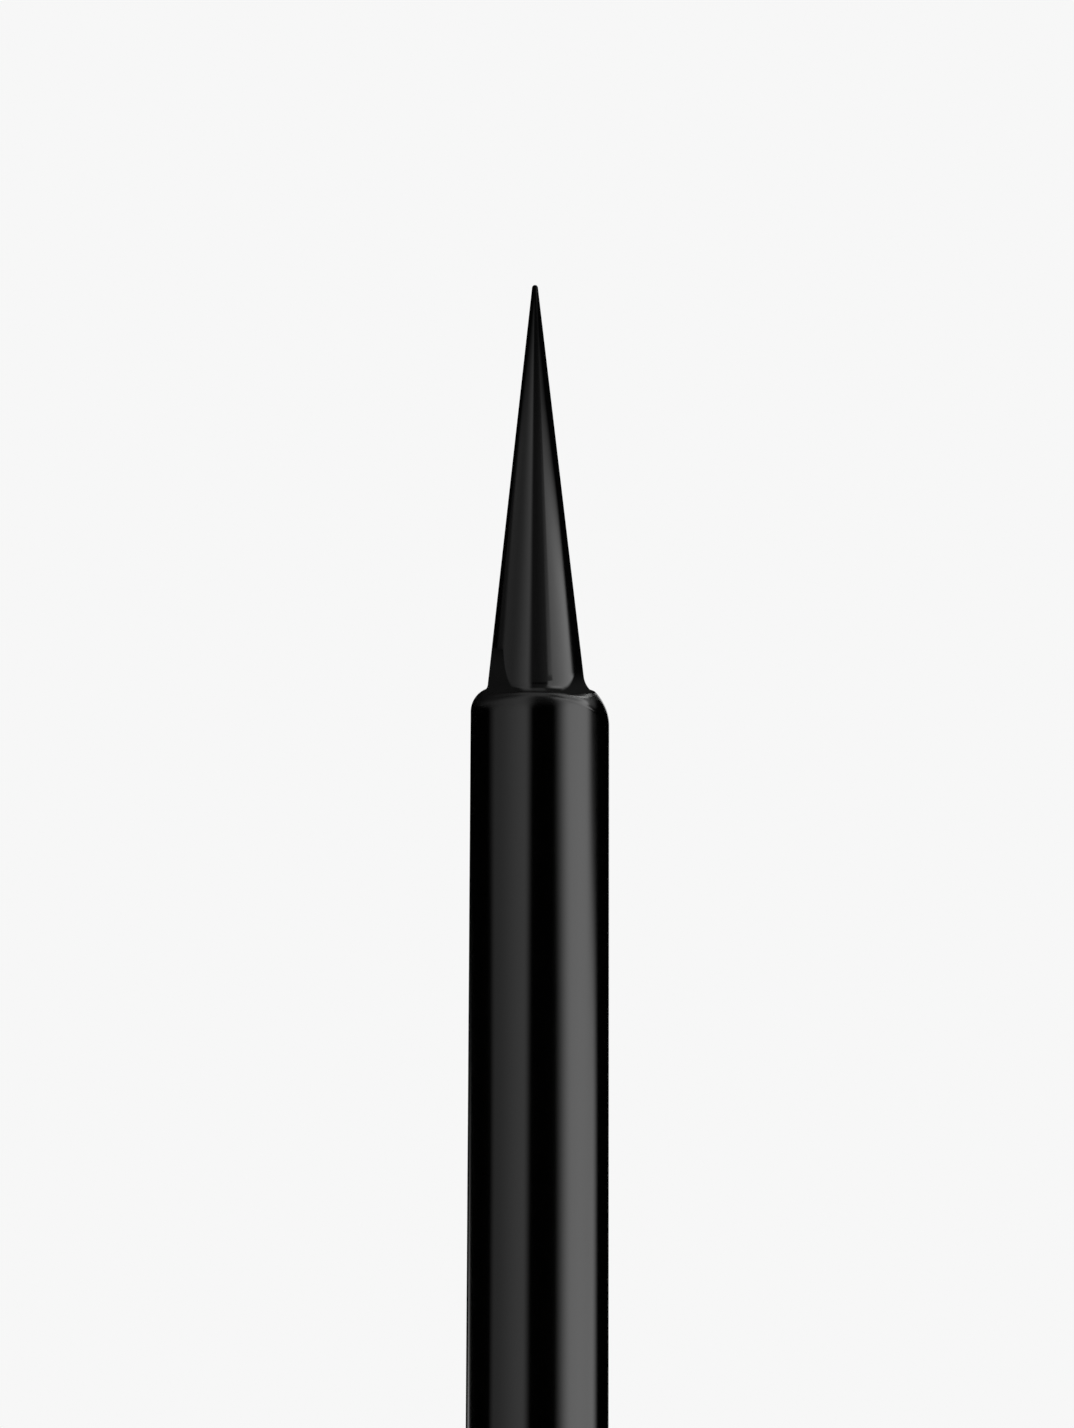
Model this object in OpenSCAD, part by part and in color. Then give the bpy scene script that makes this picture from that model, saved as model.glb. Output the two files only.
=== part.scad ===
// Liquid eyeliner pen of the free-ink kind, with a bonded fibre tip in a long thin nose.
// It stands tip up on its posted cap. Sizes are in millimetres, +Z is up,
// and the origin is the centre of the cap's closed end.

/* [Body] */
// Diameter of the barrel and of the cap, which are flush
pen_d = 10.6; // [10.2:0.1:12]
// Length of the barrel
barrel_length = 80; // [70:1:95]
// Wall of the barrel
barrel_wall = 0.8; // [0.7:0.05:1]
// Small chamfer on the outer edges of the shells
edge_break = 0.15; // [0.05:0.05:0.3]
// Thickness of the trim ring between the barrel and the cap seat
ring_thickness = 1.2; // [0.8:0.1:2]
// Step from the cap seat up to the land, which carries the trim ring and stops on the barrel's mouth
ring_step = 0.2; // [0.16:0.01:0.3]

/* [Tip] */
// Length of the tip that shows beyond the nose
tip_length = 8.8; // [7:0.1:11]
// Diameter at the foot of the tip's cone
tip_d = 2.05; // [1.8:0.05:2.2]
// Diameter of the rounded point
tip_point_d = 0.12; // [0.08:0.01:0.3]
// Diameter of the fibre rod that the tip is ground from
tip_rod_d = 2.36; // [2.3:0.02:2.5]
// Length of the fibre rod inside the nose
tip_rod_length = 6; // [5:0.5:9]

/* [Nose] */
// Diameter of the nose behind its rounded shoulder
nose_d = 3; // [2.9:0.05:3.3]
// Diameter of the nose where it leaves its foot
nose_base_d = 3.1; // [3:0.05:3.4]
// Length of the nose between its foot and its mouth
nose_length = 18.5; // [16:0.5:24]
// Thickness of the foot flange that lies on the section
nose_flange = 0.9; // [0.6:0.1:1.4]
// Length of the spigot that plugs into the section
nose_spigot_length = 5; // [4:0.5:7]
// Step from the foot's rim in to the spigot
nose_step = 0.5; // [0.3:0.05:0.7]
// Wall of the spigot round the collector's snout
nose_socket_wall = 0.55; // [0.45:0.05:0.7]
// Depth of the socket's floor below the section's face
nose_socket_depth = 0.8; // [0.4:0.1:1.5]
// Width of the vent groove that lets air into the collector's chamber
vent_width = 0.4; // [0.3:0.05:0.6]
// Depth of the vent groove
vent_depth = 0.2; // [0.1:0.05:0.3]

/* [Section] */
// Length of the seat that the cap slides on
seat_length = 7; // [6:0.5:9]
// Length of the section inside the barrel
section_tail_length = 28; // [24:1:34]
// Wall of the section round the collector
section_wall = 0.68; // [0.6:0.02:0.8]
// Chamfer at the front edge of the seat
seat_chamfer = 0.4; // [0.2:0.05:0.5]

/* [Collector] */
// Thickness of one fin
fin_thickness = 0.35; // [0.3:0.05:0.5]
// Gap between two fins
fin_space = 0.45; // [0.35:0.05:0.7]
// Gap between the fins' rims and the section's bore
fin_clearance = 0.15; // [0.1:0.05:0.3]
// Length of the plain collar that carries the seal
collar_length = 2.4; // [2:0.1:3.5]
// Thickness of the flange clamped between section and tank
collector_flange = 1; // [0.8:0.1:1.5]
// Length of the plug in the tank's mouth
collector_plug_length = 4; // [3:0.5:6]
// Length of the stem that reaches into the ink
stem_length = 3.5; // [2:0.5:6]
// Width of the capillary slit along the fins
slit_width = 0.2; // [0.15:0.05:0.3]
// Width of the air notch on the other side
notch_width = 1.4; // [1:0.1:2]
// Depth of the air notch from the fins' rims
notch_depth = 1.1; // [0.7:0.1:1.3]

/* [Feed] */
// Diameter of the fibre feed rod
feed_d = 1.5; // [1.3:0.05:1.6]
// Length of feed rod that shows below the collector's stem
feed_reach = 0.4; // [0.2:0.1:1]
// Depth of the socket in the tip for the feed rod
feed_socket = 2; // [1:0.5:3]

/* [Tank] */
// Gap between the tank and the barrel
tank_gap = 0.15; // [0.1:0.05:0.3]
// Wall of the tank
tank_wall = 0.5; // [0.4:0.05:0.6]
// Thickness of the tank plug's flange
tank_plug_flange = 1; // [0.8:0.1:1.5]
// Length of the tank plug inside the tank
tank_plug_length = 4; // [3:0.5:6]
// Diameter of the mixing ball
ball_d = 3.2; // [2.4:0.1:4]

/* [Tail plug] */
// Thickness of the tail plug's flange
tail_flange = 1.2; // [0.8:0.1:2]
// Length of the tail plug inside the barrel
tail_tenon_length = 3.5; // [3:0.5:6]
// Gap between the posted tail and the inner cap
tail_gap = 0.7; // [0.5:0.1:1.5]
// Wall round the core of the tail plug
tail_wall = 1.1; // [0.8:0.1:1.5]
// Web that closes the core of the tail plug
tail_web = 1.5; // [1:0.1:2.5]

/* [Cap] */
// Wall of the cap
cap_wall = 0.8; // [0.7:0.05:1]
// Thickness of the end plug's flange
end_flange = 1.2; // [0.8:0.1:2]
// Length of the end plug inside the cap
end_tenon_length = 2; // [1.6:0.1:3]
// Radius of the edge that the cap stands on
end_round = 0.5; // [0.3:0.1:0.8]
// Room beyond the point of the tip when the cap is on
tip_room = 1.2; // [0.8:0.1:3]

/* [Inner cap] */
// Wall of the inner cap
inner_cap_wall = 0.6; // [0.5:0.05:0.7]
// Thickness of the inner cap's closed end
inner_cap_end = 0.7; // [0.5:0.1:1.2]
// Thickness of the inner cap's guide flange
inner_cap_flange = 0.8; // [0.6:0.1:1.2]
// Play between the inner cap and its retainer's hole
inner_cap_play = 0.2; // [0.15:0.05:0.3]
// Travel that the section gives the inner cap when the cap is on
inner_cap_preload = 0.8; // [0.5:0.1:1]
// Thickness of the seal on the inner cap's mouth
seal_thickness = 0.8; // [0.5:0.1:1]
// Length of the seal's skirt inside the mouth
seal_skirt = 1.2; // [0.8:0.1:2]
// Thickness of the seal's skirt
seal_lip = 0.2; // [0.15:0.05:0.25]
// Thickness of the retainer ring
retainer_thickness = 1; // [0.8:0.1:1.5]
// Width by which the retainer ring stands into the cap's bore
retainer_lip = 0.4; // [0.35:0.05:0.5]
// Depth of the groove that holds the retainer ring
retainer_groove = 0.2; // [0.15:0.05:0.3]

/* [Spring] */
// Diameter of the spring's wire
spring_wire = 0.4; // [0.3:0.05:0.5]
// Outer diameter of the spring
spring_d = 6; // [5:0.1:6.6]
// Number of turns
spring_turns = 4; // [3:1:5]
// Length of the spring when the cap is on the pen
spring_closed = 5.2; // [4.8:0.1:8]

/* [Snap beads] */
// Height of the beads that lock the plugs and the section
bead_height = 0.15; // [0.1:0.05:0.2]
// Width of a bead
bead_width = 1; // [0.8:0.1:1.2]
// Distance of each bead from the flange or rim beside it
bead_setback = 0.5; // [0.4:0.1:0.8]
// Height of the low bead that the cap clicks over
click_height = 0.04; // [0.02:0.01:0.05]
// Distance from the tail plug's end to the middle of that bead
click_setback = 1.1; // [1:0.1:1.4]

/* [Fits] */
// Clearance round pieces that are pressed or seated together
seated_fit = 0.02; // [0.01:0.005:0.03]
// Clearance between the cap and its seats
cap_fit = 0.07; // [0.06:0.01:0.1]
// Clearance round the inner cap's guide flange
guide_fit = 0.08; // [0.05:0.01:0.1]
// Gap at the stops of the sliding pieces
stop_gap = 0.05; // [0.02:0.01:0.1]
// Room between the nose's foot and the inner cap's seal
foot_room = 0.28; // [0.2:0.02:0.4]

/* [Hidden] */

// Small details, each used by one or two pieces
lead_in = 0.3;
grip_height = 0.1;
grip_width = 0.8;
grip_depth = 2.5;
chamber_gap = 0.5;
seal_groove_depth = 0.7;
seal_groove_width = 1.1;
stem_wall = 0.75;
boss_height = 0.8;
slit_floor = 0.35;
overrun = 0.5;

// Slope at which the tip's fillet meets the nose's rounded mouth, in degrees
mouth_slope = 45;
// Share of the nose foot's overhang that the hollow flare takes up
flare_share = 0.85;
// Share of a bead's width that is its flat top
bead_top_share = 0.5;
// Rings in one turn of the spring, and sides of its wire
spring_rings = 8;
spring_sides = 6;
arc_steps = 10;
revolve_fn = 96;

// Radii, from the outside in
pen_r = pen_d / 2;
cap_bore_r = pen_r - cap_wall;
barrel_bore_r = pen_r - barrel_wall;
seat_r = cap_bore_r - cap_fit;
retainer_hole_r = cap_bore_r - retainer_lip;
inner_cap_r = retainer_hole_r - inner_cap_play;
inner_cap_bore_r = inner_cap_r - inner_cap_wall;
seal_skirt_r = inner_cap_bore_r - seated_fit;
seal_hole_r = seal_skirt_r - seal_lip;
ring_land_r = seat_r + ring_step;
nose_foot_r = seal_hole_r - foot_room;
nose_spigot_r = nose_foot_r - nose_step;
nose_socket_r = nose_spigot_r - nose_socket_wall;
snout_r = nose_socket_r - seated_fit;
section_tail_r = barrel_bore_r - seated_fit;
section_bore_r = min(seat_r, section_tail_r) - section_wall;
collar_r = section_bore_r - seated_fit;
seal_groove_r = collar_r - seal_groove_depth;
fin_r = section_bore_r - fin_clearance;
tank_r = barrel_bore_r - tank_gap;
tank_bore_r = tank_r - tank_wall;
tank_plug_r = tank_bore_r - seated_fit;
plug_groove_r = tank_plug_r - seal_groove_depth;
tip_rod_r = tip_rod_d / 2;
tip_foot_r = tip_d / 2;
mouth_r = tip_rod_r + seated_fit;
feed_r = feed_d / 2;
feed_hole_r = feed_r + seated_fit;
flare_r = (nose_foot_r - nose_base_d / 2) * flare_share;
tip_half_angle = atan2(tip_foot_r - tip_point_d / 2, tip_length);
fillet_r = (tip_rod_r - tip_foot_r) / (cos(tip_half_angle) - cos(mouth_slope));
shoulder_r = (nose_d / 2 - mouth_r) / (1 - cos(mouth_slope));

// Heights, from the closed end of the posted cap up to the point
nose_reach = nose_flange + flare_r + nose_length + tip_length;
cap_length = end_flange + end_tenon_length + spring_closed + inner_cap_end + tip_room
    + nose_reach + seat_length;
spring_z = end_flange + end_tenon_length;
inner_cap_z = spring_z + spring_closed + inner_cap_preload;
seal_top_z = cap_length - seat_length + inner_cap_preload;
inner_cap_top_z = seal_top_z - seal_thickness;
retainer_top_z = cap_length - seat_length - stop_gap;
retainer_z = retainer_top_z - retainer_thickness;
tail_bottom_z = seal_top_z + tail_gap;
click_depth = cap_length - tail_bottom_z - click_setback;
barrel_z = cap_length + tail_flange;
barrel_top_z = barrel_z + barrel_length;
seat_z = barrel_top_z + ring_thickness;
face_z = seat_z + seat_length;
chamber_top_z = face_z - nose_spigot_length;
section_z = barrel_top_z - section_tail_length;
tank_top_z = section_z - collector_flange;
stem_z = tank_top_z - collector_plug_length - stem_length;
tail_top_z = barrel_z + tail_tenon_length;
tank_z = tail_top_z + tank_plug_flange;
ball_floor_z = tank_z + tank_plug_length;
plug_seal_z = tank_z + tank_plug_length / 2;
snout_top_z = face_z - nose_socket_depth;
flare_top_z = face_z + nose_flange + flare_r;
mouth_z = flare_top_z + nose_length;
tip_bottom_z = mouth_z - tip_rod_length;
point_z = mouth_z + tip_length;
comb_z = section_z + collar_length;
fin_pitch = fin_thickness + fin_space;
fin_count = floor((chamber_top_z - chamber_gap - comb_z) / fin_pitch);

// Points of an arc about (x, z), from one angle to another
function arc(x, z, r, from, to, steps = arc_steps) = [
    for (i = [0 : steps])
        let (a = from + (to - from) * i / steps)
            [x + r * cos(a), z + r * sin(a)]
];

// Points of a ring-shaped bead on a wall of radius r, upwards; a negative height is a groove
function bead(r, z, height, width = bead_width) = [
    [r, z - width / 2],
    [r + height, z - width * bead_top_share / 2],
    [r + height, z + width * bead_top_share / 2],
    [r, z + width / 2],
];

function reversed(points) = [for (i = [len(points) - 1 : -1 : 0]) points[i]];

// One turned piece from its outline, given as [radius, height] points
module turned(outline) {
    rotate_extrude($fn = revolve_fn) polygon(outline);
}

// A plain ring
module ring(r_in, r_out, z_low, z_high, edge = 0) {
    turned([
        [r_in, z_low],
        [r_out - edge, z_low],
        [r_out, z_low + edge],
        [r_out, z_high - edge],
        [r_out - edge, z_high],
        [r_in, z_high],
    ]);
}

// A rubber ring that fills a groove's floor and the bore round it, with a little room
module seal_ring(bore_r, groove_r, z) {
    color("#141416")
        rotate_extrude($fn = revolve_fn)
            translate([(bore_r + groove_r) / 2, z])
                circle(r = (bore_r - groove_r) / 2 - seated_fit, $fn = 32);
}

// Bonded fibre rod ground to a slender cone, with a waist for the nose's grip
module fibre_tip() {
    point_r = tip_point_d / 2;
    fillet_x = tip_foot_r + fillet_r * cos(tip_half_angle);
    fillet_z = mouth_z + fillet_r * sin(mouth_slope);
    color("#08080a")
        turned(concat(
            [[feed_hole_r, tip_bottom_z], [tip_rod_r, tip_bottom_z]],
            bead(tip_rod_r, mouth_z - grip_depth, -grip_height, grip_width),
            arc(fillet_x, fillet_z, fillet_r, 180 + mouth_slope, 180 + tip_half_angle),
            arc(0, point_z - point_r, point_r, tip_half_angle, 90),
            [[0, tip_bottom_z + feed_socket], [feed_hole_r, tip_bottom_z + feed_socket]]
        ));
}

// Long thin nose with a rounded mouth, a flared foot and a plug-in spigot that a vent groove runs along
module nose() {
    shoulder_z = mouth_z - shoulder_r * sin(mouth_slope);
    vent_floor_r = nose_spigot_r - vent_depth;
    color("#0b0b0d")
        difference() {
            turned(concat(
                [
                    [nose_socket_r, chamber_top_z],
                    [nose_spigot_r, chamber_top_z],
                    [nose_spigot_r, face_z],
                    [nose_foot_r, face_z],
                    [nose_foot_r, face_z + nose_flange - edge_break],
                    [nose_foot_r - edge_break, face_z + nose_flange],
                ],
                reversed(arc(nose_base_d / 2 + flare_r, flare_top_z, flare_r, 180, 270)),
                arc(nose_d / 2 - shoulder_r, shoulder_z, shoulder_r, 0, mouth_slope),
                reversed(bead(mouth_r, mouth_z - grip_depth, -grip_height, grip_width)),
                [[mouth_r, snout_top_z], [nose_socket_r, snout_top_z]]
            ));
            // Vent groove, along the spigot and out under the foot
            translate([vent_floor_r, -vent_width / 2, chamber_top_z - overrun])
                cube([
                    nose_foot_r - vent_floor_r + overrun,
                    vent_width,
                    face_z + vent_depth - chamber_top_z + overrun,
                ]);
        }
}

// Thin tube that keeps the tip forward and guides the feed rod
module feed_tube() {
    color("#d9dadb")
        ring(feed_hole_r, mouth_r - seated_fit, snout_top_z, tip_bottom_z);
}

// Fibre rod that carries ink from the tank to the tip
module feed_rod() {
    top_z = tip_bottom_z + feed_socket - seated_fit;
    color("#1a1a1d")
        turned([
            [0, stem_z - feed_reach],
            [feed_r, stem_z - feed_reach],
            [feed_r, top_z - lead_in],
            [feed_r - lead_in, top_z],
            [0, top_z],
        ]);
}

// Finned ink collector, with its collar, clamped flange, tank plug and stem in one moulding
module comb_collector() {
    stem_r = feed_hole_r + stem_wall;
    groove_z = section_z + collar_length / 2 - seal_groove_width / 2;
    fins = [
        for (i = [0 : fin_count - 1])
            let (z = comb_z + fin_space + i * fin_pitch)
                each [
                    [snout_r, z],
                    [fin_r, z],
                    [fin_r, z + fin_thickness],
                    [snout_r, z + fin_thickness],
                ]
    ];
    comb_length = fin_count * fin_pitch;
    color("#e4e3df")
        difference() {
            turned(concat(
                [
                    [feed_hole_r, stem_z],
                    [stem_r, stem_z],
                    [stem_r, tank_top_z - collector_plug_length],
                    [tank_plug_r - lead_in, tank_top_z - collector_plug_length],
                    [tank_plug_r, tank_top_z - collector_plug_length + lead_in],
                    [tank_plug_r, tank_top_z],
                    [tank_r, tank_top_z],
                    [tank_r, section_z],
                    [collar_r, section_z],
                    [collar_r, groove_z],
                    [seal_groove_r, groove_z],
                    [seal_groove_r, groove_z + seal_groove_width],
                    [collar_r, groove_z + seal_groove_width],
                    [collar_r, comb_z],
                    [snout_r, comb_z],
                ],
                fins,
                [
                    [snout_r, snout_top_z - lead_in],
                    [snout_r - lead_in, snout_top_z],
                    [feed_hole_r, snout_top_z],
                ]
            ));
            // Capillary slit, down into the core
            translate([feed_hole_r + slit_floor, -slit_width / 2, comb_z])
                cube([fin_r + overrun, slit_width, comb_length + overrun]);
            // Air notch, through the fins alone
            translate([-fin_r - overrun, -notch_width / 2, comb_z])
                cube([notch_depth + overrun, notch_width, comb_length + overrun]);
        }
}

// Rubber ring in the collector's groove
module collector_seal() {
    seal_ring(section_bore_r, seal_groove_r, section_z + collar_length / 2);
}

// Section that holds the nose and collector, with the cap seat in front, a land that stops on the
// barrel's mouth, and a long tail in the barrel
module front_section() {
    color("#0b0b0d")
        turned(concat(
            [
                [section_bore_r, section_z],
                [section_tail_r - lead_in, section_z],
                [section_tail_r, section_z + lead_in],
            ],
            bead(section_tail_r, barrel_top_z - bead_setback - bead_width, bead_height),
            [
                [section_tail_r, barrel_top_z],
                [ring_land_r, barrel_top_z],
                [ring_land_r, seat_z],
                [seat_r, seat_z],
            ],
            bead(seat_r, seat_z + click_depth, click_height),
            [
                [seat_r, face_z - seat_chamfer],
                [seat_r - seat_chamfer, face_z],
                [nose_spigot_r + seated_fit, face_z],
                [nose_spigot_r + seated_fit, chamber_top_z],
                [section_bore_r, chamber_top_z],
            ]
        ));
}

// Trim ring pressed over the section against the barrel's mouth
module section_ring() {
    color("#17171a")
        ring(ring_land_r + seated_fit, pen_r, barrel_top_z, seat_z, edge_break);
}

// Outer tube, with a groove near each end for the bead of what plugs in there
module barrel() {
    top_bead_z = barrel_top_z - bead_setback - bead_width;
    tail_bead_z = barrel_z + bead_setback + bead_width;
    color("#0b0b0d")
        turned(concat(
            [
                [barrel_bore_r, barrel_z],
                [pen_r - edge_break, barrel_z],
                [pen_r, barrel_z + edge_break],
                [pen_r, barrel_top_z - edge_break],
                [pen_r - edge_break, barrel_top_z],
                [barrel_bore_r, barrel_top_z],
            ],
            reversed(bead(barrel_bore_r, top_bead_z, bead_height)),
            reversed(bead(barrel_bore_r, tail_bead_z, bead_height))
        ));
}

// Thin-walled tube for the free ink
module ink_tank() {
    color("#cfd3d6")
        ring(tank_bore_r, tank_r, tank_z, tank_top_z);
}

// Stopper in the tank's rear mouth, with a groove for its seal
module tank_plug() {
    color("#cfd3d6")
        turned([
            [0, tail_top_z],
            [tank_r, tail_top_z],
            [tank_r, tank_z],
            [tank_plug_r, tank_z],
            [tank_plug_r, plug_seal_z - seal_groove_width / 2],
            [plug_groove_r, plug_seal_z - seal_groove_width / 2],
            [plug_groove_r, plug_seal_z + seal_groove_width / 2],
            [tank_plug_r, plug_seal_z + seal_groove_width / 2],
            [tank_plug_r, ball_floor_z - lead_in],
            [tank_plug_r - lead_in, ball_floor_z],
            [0, ball_floor_z],
        ]);
}

// Rubber ring in the stopper's groove
module tank_plug_seal() {
    seal_ring(tank_bore_r, plug_groove_r, plug_seal_z);
}

// Steel ball that stirs the ink
module mixing_ball() {
    color("#b9bcc0")
        translate([0, 0, ball_floor_z + stop_gap + ball_d / 2])
            sphere(d = ball_d, $fn = 64);
}

// Plug that closes the barrel, with the spigot that the cap posts on
module tail_plug() {
    core_r = seat_r - tail_wall;
    color("#0b0b0d")
        turned(concat(
            [
                [core_r, tail_bottom_z],
                [seat_r - lead_in, tail_bottom_z],
                [seat_r, tail_bottom_z + lead_in],
            ],
            bead(seat_r, cap_length - click_depth, click_height),
            [
                [seat_r, cap_length],
                [pen_r - edge_break, cap_length],
                [pen_r, cap_length + edge_break],
                [pen_r, barrel_z - edge_break],
                [pen_r - edge_break, barrel_z],
                [section_tail_r, barrel_z],
            ],
            bead(section_tail_r, barrel_z + bead_setback + bead_width, bead_height),
            [
                [section_tail_r, tail_top_z - lead_in],
                [section_tail_r - lead_in, tail_top_z],
                [0, tail_top_z],
                [0, tail_top_z - tail_web],
                [core_r, tail_top_z - tail_web],
            ]
        ));
}

// Outer cap, a tube with grooves for its end plug, its retainer ring and the click bead
module cap_shell() {
    groove_r = cap_bore_r + retainer_groove;
    color("#0b0b0d")
        turned(concat(
            [
                [cap_bore_r, end_flange],
                [pen_r - edge_break, end_flange],
                [pen_r, end_flange + edge_break],
                [pen_r, cap_length - edge_break],
                [pen_r - edge_break, cap_length],
                [cap_bore_r + edge_break, cap_length],
                [cap_bore_r, cap_length - edge_break],
            ],
            reversed(bead(cap_bore_r, cap_length - click_depth, click_height)),
            [
                [cap_bore_r, retainer_top_z + seated_fit],
                [groove_r, retainer_top_z + seated_fit],
                [groove_r, retainer_z - seated_fit],
                [cap_bore_r, retainer_z - seated_fit],
            ],
            reversed(bead(cap_bore_r, end_flange + bead_setback + bead_width / 2, bead_height))
        ));
}

// Plug that closes the cap, with the flat end that the pen stands on and a boss for the spring
module cap_end_plug() {
    plug_r = cap_bore_r - seated_fit;
    boss_r = spring_d / 2 - spring_wire - inner_cap_play;
    color("#0b0b0d")
        turned(concat(
            [[0, 0]],
            arc(pen_r - end_round, end_round, end_round, -90, 0),
            [
                [pen_r, end_flange - edge_break],
                [pen_r - edge_break, end_flange],
                [plug_r, end_flange],
            ],
            bead(plug_r, end_flange + bead_setback + bead_width / 2, bead_height),
            [
                [plug_r, spring_z],
                [boss_r, spring_z],
                [boss_r, spring_z + boss_height],
                [0, spring_z + boss_height],
            ]
        ));
}

// Ring snapped into the cap that stops the inner cap's flange
module inner_cap_retainer() {
    color("#2a2a2d")
        ring(retainer_hole_r, cap_bore_r + retainer_groove - seated_fit, retainer_z, retainer_top_z);
}

// Centres of the spring's wire, ring by ring
spring_r = (spring_d - spring_wire) / 2;
spring_low_z = spring_z + spring_wire / 2 + seated_fit;
spring_high_z = inner_cap_z - spring_wire / 2 - seated_fit;
spring_last = spring_turns * spring_rings;
spring_path = [
    for (i = [0 : spring_last])
        let (a = 360 * i / spring_rings)
            [spring_r * cos(a), spring_r * sin(a),
             spring_low_z + (spring_high_z - spring_low_z) * i / spring_last]
];
spring_gap = min([
    for (i = [0 : spring_last])
        for (j = [i + spring_rings / 2 : 1 : spring_last])
            norm(spring_path[i] - spring_path[j])
]) - spring_wire;
echo(spring_least_gap = spring_gap);

// Compression spring between the cap's end and the inner cap, as one swept tube
module inner_cap_spring() {
    rise = (spring_high_z - spring_low_z) / (spring_turns * 2 * PI * spring_r);
    lean = atan(rise);
    points = [
        for (i = [0 : spring_last])
            let (a = 360 * i / spring_rings)
                for (k = [0 : spring_sides - 1])
                    let (
                        b = 360 * k / spring_sides,
                        out = spring_wire / 2 * cos(b),
                        up = spring_wire / 2 * sin(b)
                    )
                        spring_path[i] + [
                            out * cos(a) + up * sin(lean) * sin(a),
                            out * sin(a) - up * sin(lean) * cos(a),
                            up * cos(lean),
                        ]
    ];
    sides = [
        for (i = [0 : spring_last - 1])
            for (k = [0 : spring_sides - 1])
                let (
                    here = i * spring_sides,
                    next = here + spring_sides,
                    m = (k + 1) % spring_sides
                )
                    each [[here + k, here + m, next + m], [here + k, next + m, next + k]]
    ];
    end = spring_last * spring_sides;
    ends = [
        for (k = [1 : spring_sides - 2])
            each [[0, k + 1, k], [end, end + k, end + k + 1]]
    ];
    color("#a7abb0")
        polyhedron(points = points, faces = [for (f = concat(sides, ends)) reversed(f)]);
}

// Sprung cup that closes over the nose and tip
module inner_cap() {
    flange_r = cap_bore_r - guide_fit;
    flange_top_z = retainer_z - stop_gap;
    boss_r = spring_d / 2 - spring_wire - inner_cap_play;
    color("#d9dadb")
        turned([
            [0, inner_cap_z - boss_height],
            [boss_r, inner_cap_z - boss_height],
            [boss_r, inner_cap_z],
            [inner_cap_r - lead_in, inner_cap_z],
            [inner_cap_r, inner_cap_z + lead_in],
            [inner_cap_r, flange_top_z - inner_cap_flange],
            [flange_r, flange_top_z - inner_cap_flange],
            [flange_r, flange_top_z],
            [inner_cap_r, flange_top_z],
            [inner_cap_r, inner_cap_top_z],
            [inner_cap_bore_r, inner_cap_top_z],
            [inner_cap_bore_r, inner_cap_z + inner_cap_end],
            [0, inner_cap_z + inner_cap_end],
        ]);
}

// Rubber seal on the inner cap's mouth, with a skirt inside
module inner_cap_seal() {
    color("#1b1b1d")
        turned([
            [seal_hole_r, inner_cap_top_z - seal_skirt],
            [seal_skirt_r, inner_cap_top_z - seal_skirt],
            [seal_skirt_r, inner_cap_top_z],
            [inner_cap_r, inner_cap_top_z],
            [inner_cap_r, seal_top_z - edge_break],
            [inner_cap_r - edge_break, seal_top_z],
            [seal_hole_r, seal_top_z],
        ]);
}

fibre_tip();
nose();
feed_tube();
feed_rod();
comb_collector();
collector_seal();
front_section();
section_ring();
barrel();
ink_tank();
tank_plug();
tank_plug_seal();
mixing_ball();
tail_plug();
cap_shell();
cap_end_plug();
inner_cap_retainer();
inner_cap_spring();
inner_cap();
inner_cap_seal();
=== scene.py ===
"""Looks of the liquid eyeliner pen, built in Blender 4.5 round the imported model, in metres.

The pen stands tip up on its posted cap. The camera looks at the tip and the front of the nose.
"""

import math

import bmesh
import bpy
from mathutils import Matrix, Vector


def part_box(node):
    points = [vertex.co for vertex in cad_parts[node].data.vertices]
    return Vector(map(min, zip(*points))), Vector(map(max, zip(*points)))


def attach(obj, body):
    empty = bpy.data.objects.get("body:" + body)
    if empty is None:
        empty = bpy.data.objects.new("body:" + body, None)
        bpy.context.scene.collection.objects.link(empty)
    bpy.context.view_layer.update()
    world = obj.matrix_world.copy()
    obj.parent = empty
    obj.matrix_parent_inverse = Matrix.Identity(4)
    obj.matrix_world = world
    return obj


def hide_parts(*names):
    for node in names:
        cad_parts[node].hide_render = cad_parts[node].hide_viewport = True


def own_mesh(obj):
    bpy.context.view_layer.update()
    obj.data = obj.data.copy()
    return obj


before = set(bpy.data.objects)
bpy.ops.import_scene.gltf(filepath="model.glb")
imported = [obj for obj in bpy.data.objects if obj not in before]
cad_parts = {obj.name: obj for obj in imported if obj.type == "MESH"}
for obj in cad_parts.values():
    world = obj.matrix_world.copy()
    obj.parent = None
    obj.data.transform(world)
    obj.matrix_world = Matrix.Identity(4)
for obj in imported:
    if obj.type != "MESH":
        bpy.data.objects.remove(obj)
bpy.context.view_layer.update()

MM = 0.001

# The photograph's framing, in its own pixels
PHOTO_WIDE = 1074
PHOTO_HIGH = 1428
PIXELS_PER_MM = 46.2
POINT_Y = 285
NOSE_AXIS_X = 540.05
NOSE_LEAN = math.radians(0.223)
# Height of the view above level, in degrees
VIEW_RISE = 5
# Width of the camera's sensor and distance of the camera, in millimetres
SENSOR_WIDE = 36
CAMERA_DISTANCE = 450

# Sizes of the pen in millimetres, as in the part's source
PEN_R = 5.3
BARREL_BORE_R = 4.5
CAP_BORE_R = 4.5
SEAT_R = 4.43
SEAT_CHAMFER = 0.4
LAND_R = 4.63
SECTION_TAIL_R = 4.48
SECTION_BORE_R = 3.75
NOSE_FOOT_R = 2.8
NOSE_SPIGOT_R = 2.3
NOSE_SOCKET_R = 1.75
NOSE_FLANGE = 0.9
FLARE_R = 1.0625
VENT_WIDTH = 0.4
VENT_DEPTH = 0.2
MOUTH_R = 1.2
TIP_ROD_R = 1.18
FEED_HOLE_R = 0.77
FEED_SOCKET = 2.0
GRIP_DEPTH = 2.5
GRIP_HEIGHT = 0.1
GRIP_WIDTH = 0.8
BEAD_HEIGHT = 0.15
BEAD_WIDTH = 1.0
BEAD_SETBACK = 0.5
CLICK_HEIGHT = 0.04
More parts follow.
